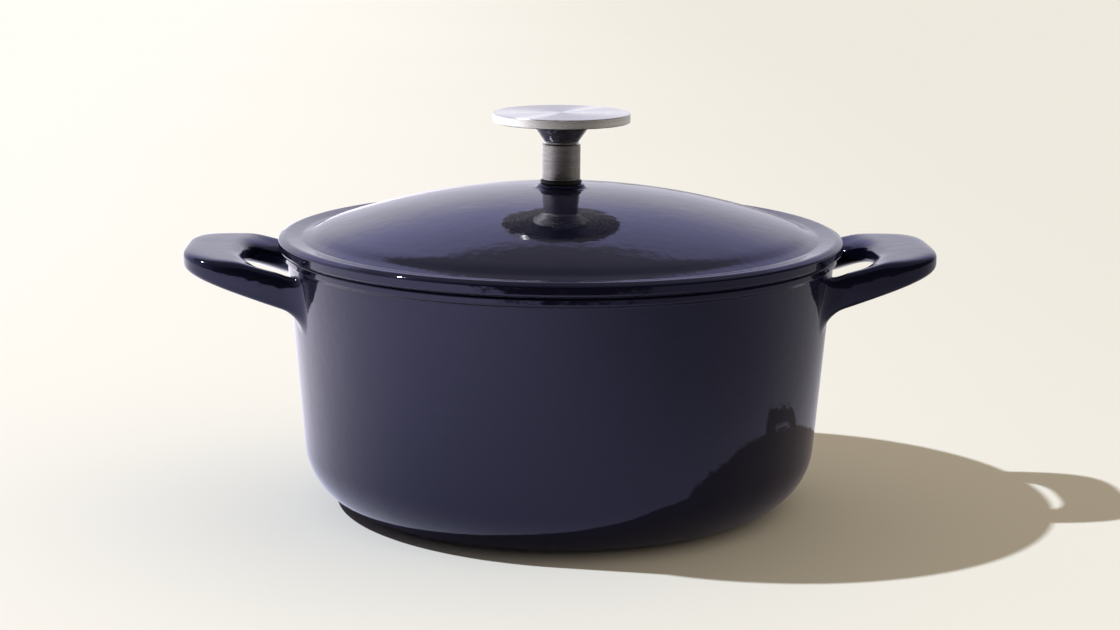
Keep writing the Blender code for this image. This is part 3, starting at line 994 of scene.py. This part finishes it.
# --- lid ---------------------------------------------------------------------------------------
@dataclass
class LidCasting:
    """The lid: low dome, wide brim, knob boss, locating ring and basting rings."""

    edge_low: float = 123.4 * MM
    edge_high: float = 127.6 * MM
    flange_under: float = 122.3 * MM
    crest: float = 129.1 * MM
    crest_radius: float = 131.5 * MM
    valley: float = 128.0 * MM
    valley_radius: float = 124.0 * MM
    dome_edge: float = 112.0 * MM
    dome_top: float = 150.8 * MM
    dome_sphere: float = 353.0 * MM
    thick: float = 3.6 * MM
    boss_top: float = 152.6 * MM
    boss_radius: float = 11.2 * MM
    boss_flare: float = 3.0 * MM
    hole_radius: float = 3.4 * MM
    ring_radius: float = 125.8 * MM
    ring_drop: float = 4.0 * MM
    ring_width: float = 3.8 * MM
    seat: float = 145.8 * MM
    seat_radius: float = 10.5 * MM
    basting_radii: tuple[float, ...] = (34.0 * MM, 62.0 * MM, 90.0 * MM)
    basting_drop: float = 2.0 * MM
    basting_half_width: float = 2.6 * MM
    steps: int = 192
    top_rows: int = 46
    under_rows: int = 150

    def __post_init__(self) -> None:
        """Take the lid's radius from the frame."""
        self.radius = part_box("lid")[1].x

    def dome(self, radius: float) -> float:
        """Height of the dome's outer face."""
        return self.dome_top - self.dome_sphere + math.sqrt(self.dome_sphere ** 2 - radius ** 2)

    def brim(self, radius: float) -> float:
        """Height of the outer face where the dome sweeps out into the brim."""
        span = self.valley_radius - self.dome_edge
        t = (radius - self.dome_edge) / span
        foot = self.dome(self.dome_edge)
        slope = -self.dome_edge / math.sqrt(self.dome_sphere ** 2 - self.dome_edge ** 2)
        blend = t * t * (3 - 2 * t)
        return foot + (self.valley - foot) * blend + span * slope * t * (1 - t) ** 2

    def top(self, radius: float) -> float:
        """Height of the outer face, dome or brim."""
        return self.dome(radius) if radius < self.dome_edge else self.brim(radius)

    def basting(self, radius: float) -> float:
        """How far the underside's rings hang down at a radius."""
        drop = 0.0
        for ring in self.basting_radii:
            off = abs(radius - ring) / self.basting_half_width
            if off < 1.0:
                drop = self.basting_drop * (0.5 + 0.5 * math.cos(math.pi * off))
        return drop

    def outline(self) -> list[Point]:
        """Closed profile from the screw hole out over the top and back along the underside."""
        foot = self.boss_radius + self.boss_flare
        boss = rounded([
            Corner(self.hole_radius, self.boss_top - 0.4 * MM),
            Corner(self.hole_radius + 0.4 * MM, self.boss_top),
            Corner(self.boss_radius - 0.3 * MM, self.boss_top, 1.0 * MM),
            Corner(self.boss_radius + 0.35 * MM, self.dome(self.boss_radius) + 0.25 * MM,
                   2.4 * MM),
            Corner(foot, self.dome(foot)),
        ])
        count = self.top_rows
        radii = [foot + (self.valley_radius - foot) * k / count for k in range(1, count - 1)]
        over = [(r, self.top(r)) for r in radii]
        ring_inner = self.ring_radius - self.ring_width
        ring_low = self.flange_under - self.ring_drop
        last_under = ring_inner - 3.2 * MM
        edge = rounded([
            Corner(self.valley_radius - 1.0 * MM, self.brim(self.valley_radius - 1.0 * MM)),
            Corner(self.valley_radius, self.valley, 8.0 * MM),
            Corner(self.crest_radius, self.crest, 3.6 * MM),
            Corner(self.radius, self.edge_high, 1.3 * MM),
            Corner(self.radius, self.edge_low, 1.0 * MM),
            Corner(self.radius - 2.0 * MM, self.flange_under, 0.6 * MM),
            Corner(self.ring_radius, self.flange_under, 0.7 * MM),
            Corner(self.ring_radius, ring_low, 1.2 * MM),
            Corner(ring_inner, ring_low, 1.2 * MM),
            Corner(ring_inner - 1.2 * MM, self.brim(ring_inner) - self.thick, 1.6 * MM),
            Corner(last_under, self.brim(last_under) - self.thick),
        ])
        seat_top = self.seat_radius + 1.5 * MM
        count = self.under_rows
        radii = [last_under + (seat_top - last_under) * k / count for k in range(1, count)]
        under = [(r, self.top(r) - self.thick - self.basting(r)) for r in radii]
        hub = rounded([
            Corner(seat_top, self.dome(seat_top) - self.thick),
            Corner(self.seat_radius + 0.5 * MM, self.seat, 0.8 * MM),
            Corner(self.hole_radius + 0.5 * MM, self.seat, 0.4 * MM),
            Corner(self.hole_radius, self.seat + 0.6 * MM),
        ])
        return boss + over + edge + under + hub

    def build(self) -> bpy.types.Object:
        """Make the lid."""
        def finish(radius: float, height: float) -> int:
            under = height < self.top(min(radius, self.valley_radius)) - self.thick * 0.5
            return 1 if under and radius < self.ring_radius - 0.5 * MM else 0

        surface = Surface()
        surface.add_turned(spaced(self.outline(), 2.6 * MM), self.steps, finish=finish)
        materials = [
            GlossEnamel().material(BareRim(
                "lid", low=self.flange_under - self.ring_drop - 1.0 * MM,
                high=self.flange_under + 0.3 * MM, inner=self.ring_radius - 1.0 * MM,
                outer=self.radius - 1.6 * MM)),
            InnerEnamel().material(),
        ]
        return settle(surface.to_object("enamelled_lid", materials), "lid", "lid")


# --- knob and its fixing -----------------------------------------------------------------------
@dataclass
class Knob:
    """Stainless knob over the lid: rubber ring, sleeve, flared neck and disc."""

    bore_radius: float = 3.4 * MM
    thread_radius: float = 3.3 * MM
    thread_depth: float = 9.6 * MM
    neck_foot_radius: float = 8.5 * MM
    neck_top_radius: float = 14.4 * MM
    neck_height: float = 10.2 * MM
    disc_edge: float = 0.45 * MM
    steps: int = 128

    def build(self) -> list[bpy.types.Object]:
        """Make the knob's three pieces."""
        steel = Steel("turned_stainless", Brushing.TURNED).material()
        # The sleeve's steel is a little smoother than the disc's and painted much darker, as
        # painted shade for the dark front of the room that it reflects.
        darkened_steel = Steel("darkened_stainless", Brushing.TURNED, colour=(0.37, 0.36, 0.325),
                       dark=(0.27, 0.262, 0.24), roughness=0.24).material()
        rubber = Silicone().material()
        return [
            self.ring("knob_gasket", "knob_rubber_ring", 0.35 * MM, rubber, "silicone"),
            self.ring("knob_collar", "knob_sleeve", 0.3 * MM, darkened_steel, "stainless"),
            self._top(steel),
        ]

    def ring(self, node: str, name: str, bend: float,
             material: bpy.types.Material, slot: str) -> bpy.types.Object:
        """Plain ring that fills a CAD node's box, with all its edges rounded.

        Args:
            node: the CAD node.
            name: the piece's name.
            bend: radius of the edges.
            material: the finish.
            slot: not used.

        Returns:
            The piece.
        """
        low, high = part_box(node)
        outline = ring_outline(self.bore_radius, high.x, low.z, high.z, [bend] * 4)
        surface = Surface()
        surface.add_turned(spaced(outline, 2.0 * MM), self.steps)
        return settle(surface.to_object(name, [material]), "lid", node)

    def _top(self, steel: bpy.types.Material) -> bpy.types.Object:
        """Disc with its neck and threaded bore."""
        low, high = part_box("knob_head")
        disc_low = low.z + self.neck_height
        bore_top = low.z + self.thread_depth
        surface = Surface()
        outline = rounded([
            Corner(0.0, high.z),
            Corner(high.x, high.z, self.disc_edge),
            Corner(high.x, disc_low, self.disc_edge),
            Corner(self.neck_top_radius + 0.6 * MM, disc_low, 0.8 * MM),
            Corner(self.neck_foot_radius, low.z + 1.2 * MM, 3.4 * MM),
            Corner(self.neck_foot_radius - 0.35 * MM, low.z, 0.2 * MM),
            Corner(self.thread_radius, low.z, 0.3 * MM),
            Corner(self.thread_radius, bore_top),
            Corner(0.0, bore_top + self.thread_radius / 2),
        ], math.radians(6))
        surface.add_turned(spaced(outline, 1.6 * MM), self.steps, closed=False)
        return settle(surface.to_object("knob_top", [steel]), "lid", "knob_head")


@dataclass
class KnobFixing:
    """What holds the knob from inside the lid: seal, two washers and the socket screw."""

    thread_pitch: float = 1.0 * MM
    thread_depth: float = 0.5 * MM
    screw_radius: float = 2.98 * MM
    head_height: float = 3.8 * MM
    head_bend: float = 1.8 * MM
    socket_flat_radius: float = 2.0 * MM
    socket_corner: float = 1.1547    # a hexagon's corners are this much farther out than its flats
    socket_mouth: float = 1.3        # and the bevel round them starts this much farther out
    socket_depth: float = 2.4 * MM
    socket_lead: float = 0.3 * MM    # the socket's edge is bevelled this deep
    socket_point: float = 0.8 * MM   # and its floor left pointed by the drill
    flat_bore: float = 3.4 * MM
    lock_bore: float = 3.45 * MM
    lock_bend: float = 0.18 * MM
    split: float = 0.9 * MM
    split_slant: float = math.radians(20)
    flank: Point = (0.12, 0.95)      # a thread's flank, in shares of half a pitch
    run_out: Point = (0.2 * MM, 1.2 * MM)    # the thread starts this far above the head
    point_length: float = 0.6 * MM
    thread_rows: int = 12            # rows of points in one turn of the thread
    screw_steps: int = 48
    steps: int = 96

    def build(self) -> list[bpy.types.Object]:
        """Make the four pieces."""
        steel = Steel("bright_stainless", Brushing.PLAIN, roughness=0.20,
                      groove=0.00035, groove_height=0.0000008).material()
        seal = Knob(steps=self.steps).ring("seal_washer", "rubber_seal_washer", 0.4 * MM,
                                           Silicone("seal_silicone").material(), "silicone")
        return [seal, self._flat_washer(steel), self._lock_washer(steel), self._screw(steel)]

    def _flat_washer(self, steel: bpy.types.Material) -> bpy.types.Object:
        """Punched washer: one rolled edge and one sharper one."""
        low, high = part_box("flat_washer")
        outline = ring_outline(self.flat_bore, high.x, low.z, high.z,
                               (0.15 * MM, 0.45 * MM, 0.15 * MM, 0.25 * MM))
        surface = Surface()
        surface.add_turned(spaced(outline, 1.5 * MM), self.steps)
        return settle(surface.to_object("flat_steel_washer", [steel]), "screw_washers",
                      "flat_washer")

    def _lock_washer(self, steel: bpy.types.Material) -> bpy.types.Object:
        """Spring washer: a square wire bent round, its two ends cut on a slant."""
        low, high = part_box("spring_washer")
        outline = np.array(ring_outline(self.lock_bore, high.x, low.z, high.z,
                                        [self.lock_bend] * 4, math.radians(22)))
        slopes = outline_normals(outline, True)
        surface = Surface()
        rings = []
        for k in range(self.steps + 1):
            ring = []
            for (radius, height), (out, up) in zip(outline, slopes):
                slant = math.tan(self.split_slant) * (height - (low.z + high.z) / 2)
                gap = (self.split / 2 / math.cos(self.split_slant)) / radius
                first, last = gap + slant / radius, math.tau - gap + slant / radius
                turn = -(first + (last - first) * k / self.steps)
                ring.append(surface.add_polar(radius, height, turn, out, up))
            rings.append(ring)
        surface.add_bands(rings)
        for ring, side in ((rings[0], 1), (rings[-1], -1)):
            corners = [surface.add_point(surface.points[i], (0, side, 0)) for i in ring]
            surface.add_face(corners if side > 0 else corners[::-1])
        return settle(surface.to_object("split_lock_washer", [steel]), "screw_washers",
                      "spring_washer")

    def _screw(self, steel: bpy.types.Material) -> bpy.types.Object:
        """Socket screw: a rolled thread above a domed head with a hexagonal socket."""
        low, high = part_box("knob_screw")
        head_top = low.z + self.head_height
        around = self.screw_steps
        angles = [math.tau * j / around for j in range(around)]
        surface = Surface()
        rows = self._thread_rows(head_top, high.z, angles)
        head = rounded([
            Corner(rows[0][0][0], head_top),
            Corner(high.x, head_top, 0.4 * MM),
            Corner(high.x, low.z, self.head_bend),
            Corner(self.socket_flat_radius * self.socket_mouth, low.z, 0.15 * MM),
            Corner(self.socket_flat_radius * self.socket_corner, low.z + self.socket_lead),
        ])
        slopes = outline_normals(np.array(head), False)
        rings = [[surface.add_polar(radius, z, angle, 1.0, lean)
                  for radius, angle, z, lean in row] for row in reversed(rows)]
        rings += [[surface.add_polar(radius, height, angle, out, up) for angle in angles]
                  for (radius, height), (out, up) in zip(head[1:], slopes[1:])]
        for height in (low.z + self.socket_lead, low.z + self.socket_depth):
            ring = []
            for angle in angles:
                side = math.floor(angle / (math.pi / 3)) * math.pi / 3 + math.pi / 6
                reach = self.socket_flat_radius / math.cos(angle - side)
                ring.append(surface.add_point(
                    (reach * math.cos(angle), reach * math.sin(angle), height),
                    (-math.cos(side), -math.sin(side), 0)))
            rings.append(ring)
        surface.add_bands(rings)
        tip = surface.add_point((0, 0, high.z), (0, 0, 1))
        floor = surface.add_point(
            (0, 0, low.z + self.socket_depth + self.socket_point), (0, 0, -1))
        for j in range(around):
            m = (j + 1) % around
            surface.add_face((rings[0][j], rings[0][m], tip))
            surface.add_face((rings[-1][m], rings[-1][j], floor))
        return settle(surface.to_object("socket_screw", [steel]), "knob_screw",
                      "knob_screw")

    def _thread_rows(self, low: float, high: float,
                     angles: Sequence[float]) -> list[list[tuple[float, float, float, float]]]:
        """Rows of the threaded shank, lowest first.

        Args:
            low: where the shank starts, at the head.
            high: the screw's end.
            angles: angle of each point in a row.

        Returns:
            For each point its radius, angle, height and the slope of its normal.
        """
        count = round((high - low) / self.thread_pitch * self.thread_rows)
        rows = []
        for i in range(count + 1):
            z = low + (high - low) * i / count
            run_out = smooth_step(z - low, *self.run_out)
            point = smooth_step(high - z, 0.0, self.point_length)
            row = []
            for angle in angles:
                phase = ((z - low) / self.thread_pitch - angle / math.tau) % 1.0 - 0.5
                groove = smooth_step(abs(phase) * 2, *self.flank)
                radius = self.screw_radius - self.thread_depth * (
                    groove * run_out * point + 0.95 * (1 - point))
                steepness = 1 - abs(abs(phase) * 4 - 1)
                lean = math.copysign(0.8, phase) * run_out * steepness
                row.append((radius, angle, z, lean))
            rows.append(row)
        return rows


# --- studio ------------------------------------------------------------------------------------
@dataclass
class Studio:
    """Pale floor, one hard key light from the left in a soft room, and the camera."""

    camera_distance: float = 1.1062
    camera_height: float = 0.3118
    camera_turn: float = math.radians(-2.4)
    camera_pitch: float = 0.19932
    camera_roll: float = 0.00785
    lens: float = 75.16
    sun_run: tuple[float, float] = (0.8125, -0.1011)  # the key light's run per unit of fall
    sun_strength: float = 3.0
    sun_angle: float = math.radians(1.3)
    sun_colour: Colour = (0.935, 0.97, 1.0)
    # What lights the floor and the shadows, from the back of the room to its front.
    fill_back: Colour = (1.15, 0.97, 0.71)
    fill_front: Colour = (0.06, 0.05, 0.04)
    fill_span: Point = (-0.7, 1.1)
    # What the gloss reflects: three bands, lowest first, each with the heights where the next
    # one takes over, and the dark front of the room.
    room_low: Colour = (1.00, 0.99, 1.15)
    mid_span: Point = (0.22, 0.48)
    room_mid: Colour = (0.76, 0.74, 1.20)
    high_span: Point = (0.615, 0.67)
    room_high: Colour = (0.30, 0.29, 0.34)
    room_front: Colour = (0.07, 0.065, 0.07)
    front_span: Point = (-0.4, 0.9)
    backdrop: Colour = (0.86, 0.84, 0.78)    # what the camera sees past the table
    # Painted light on the table, from its left to its right: as the camera sees it, whiter towards
    # the key light; as the gloss reflects it, brighter and bluer on the left and darker on the
    # right.
    table_left: Colour = (0.90, 0.90, 0.905)
    table_right: Colour = (0.74, 0.74, 0.71)
    seen_span: Point = (-0.5, 0.6)
    mirrored_left: Colour = (1.50, 1.50, 1.85)
    mirrored_right: Colour = (0.36, 0.36, 0.40)
    mirrored_span: Point = (-0.46, 0.38)
    table_radius: float = 9.0
    table_front: float = 0.70                # in the gloss, it ends this far in front of the pot
    table_blur: float = 0.02
    paper_grain: float = 1.2 * MM

    def build(self) -> None:
        """Make the floor, the lights, the world and the camera."""
        self._table()
        self._key_light()
        self._world()
        self._camera()

    def _table(self) -> None:
        """Pale table top, painted whiter towards the key light. In the gloss it is painted
        brighter and bluer on the left and darker on the right, and it ends in front of the pot.
        """
        surface = Surface()
        surface.add_turned([(0.0, 0.0), (self.table_radius, 0.0)], 256, closed=False)

        def wiring(graph: Graph) -> dict[str, Wire]:
            place = graph.place()
            x, y, _ = graph.split(place)
            # painted light: the table is whiter on the left, towards the key light
            shade = (x + graph.noise(place, 0.5, 2.0) * 0.12).step(*self.seen_span)
            seen = graph.blend(shade, self.table_left, self.table_right)
            # painted reflection: in the gloss the table is brighter and bluer on the left and
            # darker on the right
            mirrored = graph.blend(x.step(*self.mirrored_span),
                                   self.mirrored_left, self.mirrored_right)
            before_edge = y.step(-self.table_front - self.table_blur,
                                 -self.table_front + self.table_blur)
            mirrored = graph.blend(before_edge, self.room_front, mirrored)
            is_gloss = graph.is_ray("Glossy")
            grain = graph.noise(place, self.paper_grain, 2.0, 0.6)
            return {"Base Color": graph.blend(is_gloss, seen, mirrored),
                    "Normal": graph.bump(grain * 0.00002)}
        paper = new_material("pale_paper", {"Roughness": 0.9, "Specular IOR Level": 0.2}, wiring)
        surface.to_object("studio_table", [paper])

    def _key_light(self) -> None:
        """Sun from the left, a little behind the pot."""
        light = bpy.data.lights.new("key_sun", "SUN")
        light.energy = self.sun_strength
        light.angle = self.sun_angle
        light.color = self.sun_colour
        run = Vector((*self.sun_run, -1.0))
        new_object("key_sun", light).rotation_euler = run.to_track_quat("-Z", "Y").to_euler()

    def _world(self) -> None:
        """Soft room light, bright low down and dim overhead."""
        bpy.context.scene.view_settings.view_transform = "Standard"
        world = bpy.data.worlds.new("soft_room")
        bpy.context.scene.world = world
        world.use_nodes = True
        graph = Graph(world.node_tree)
        direction = graph.node("ShaderNodeTexCoord", output="Generated")
        x, y, up = graph.split(direction)
        back = (y * 0.7 - x * 0.6).step(*self.front_span)
        band = graph.blend(up.step(*self.mid_span), self.room_low, self.room_mid)
        low = graph.blend(back, self.room_front, band)
        mirrored = graph.blend(up.step(*self.high_span), low, self.room_high)
        fill = graph.blend((x * 0.75 + y * 0.5).step(*self.fill_span),
                           self.fill_front, self.fill_back)
        is_gloss, is_seen = graph.is_ray("Glossy"), graph.is_ray("Camera")
        colour = graph.blend(is_seen, graph.blend(is_gloss, fill, mirrored), self.backdrop)
        light = graph.node("ShaderNodeBackground", inputs={0: colour})
        graph.node("ShaderNodeOutputWorld", inputs={"Surface": light})

    def _camera(self) -> None:
        """Camera in front of the pot, a little to its left and above the lid."""
        lens = bpy.data.cameras.new("camera")
        lens.lens = self.lens
        lens.sensor_width = 36.0
        lens.clip_start = 0.01
        turn = Matrix.Rotation(self.camera_turn, 4, "Z")
        tilt = Matrix.Rotation(math.pi / 2 - self.camera_pitch, 4, "X")
        roll = Matrix.Rotation(self.camera_roll, 4, "Z")
        place = Matrix.Translation((0.0, -self.camera_distance, self.camera_height))
        camera = new_object("camera", lens)
        camera.matrix_world = turn @ place @ tilt @ roll
        bpy.context.scene.camera = camera


def main() -> None:
    """Build the whole oven, then the studio around it."""
    logging.basicConfig(level=logging.INFO, format="%(message)s")
    PotCasting().build()
    LidCasting().build()
    Knob().build()
    KnobFixing().build()
    Studio().build()


if __name__ == "__main__":
    main()
